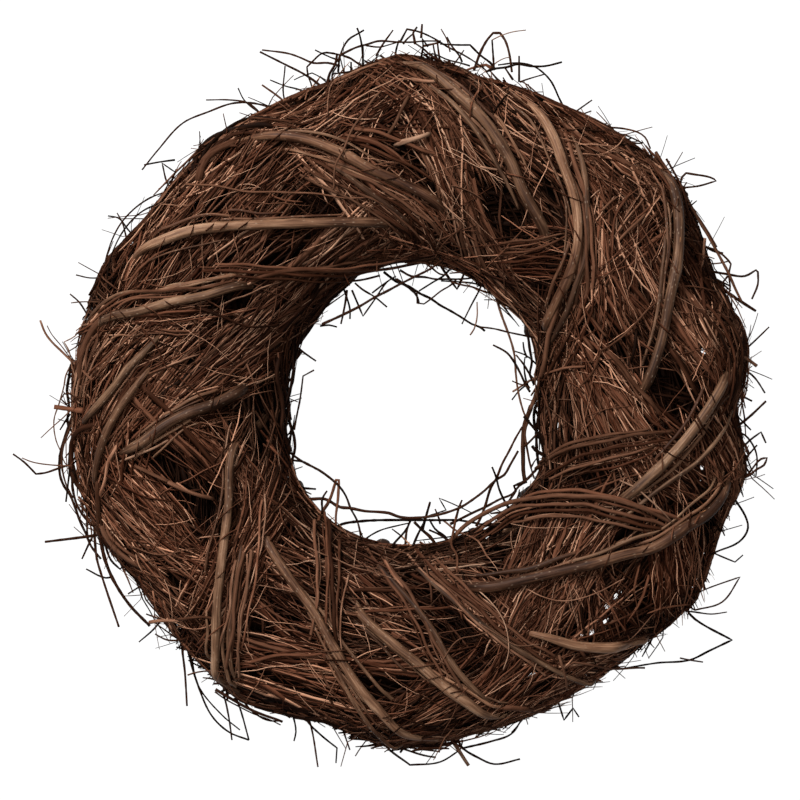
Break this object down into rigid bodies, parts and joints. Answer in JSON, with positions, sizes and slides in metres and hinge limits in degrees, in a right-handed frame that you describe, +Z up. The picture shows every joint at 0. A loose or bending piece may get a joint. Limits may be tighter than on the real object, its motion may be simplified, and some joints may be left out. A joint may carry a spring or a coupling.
{
  "type": "wreath",
  "caption": "Round wreath of dark woody vines wound slantwise round bundles of fine brushwood twigs, with stray twig tips standing out round it.",
  "frame": {"origin": "middle of the footprint, on the plane that the back rests on", "axes": "+Z up out of the front as the wreath lies flat, +Y towards its top as it hangs, +X to its right seen from the front"},
  "size_m": [0.4263, 0.4351, 0.0976],
  "materials": {
    "twigs": "matte bark",
    "vines": "slightly glossy bark",
    "thin_vines": "matte bark"
  },
  "bodies": {
    "root": {"binding_vine_01": "vines", "binding_vine_02": "vines", "binding_vine_03": "vines", "binding_vine_04": "vines", "binding_vine_05": "vines", "binding_vine_06": "vines", "binding_vine_07": "vines", "binding_vine_08": "vines", "binding_vine_09": "vines", "binding_vine_10": "vines", "binding_vine_11": "vines", "binding_vine_12": "vines", "short_vine_01": "thin_vines", "short_vine_02": "thin_vines", "short_vine_03": "thin_vines", "thin_vine_01": "thin_vines", "thin_vine_02": "thin_vines", "thin_vine_03": "thin_vines", "thin_vine_04": "thin_vines", "thin_vine_05": "thin_vines", "thin_vine_06": "thin_vines", "thin_vine_07": "thin_vines", "thin_vine_08": "thin_vines", "thin_vine_09": "thin_vines", "thin_vine_10": "thin_vines", "twig_bundle_01": "twigs", "twig_bundle_02": "twigs", "twig_bundle_03": "twigs", "twig_bundle_04": "twigs", "twig_bundle_05": "twigs", "twig_bundle_06": "twigs", "twig_bundle_07": "twigs", "twig_bundle_08": "twigs", "twig_bundle_09": "twigs", "twig_bundle_10": "twigs", "twig_bundle_11": "twigs", "twig_bundle_12": "twigs"}
  },
  "joints": []
}
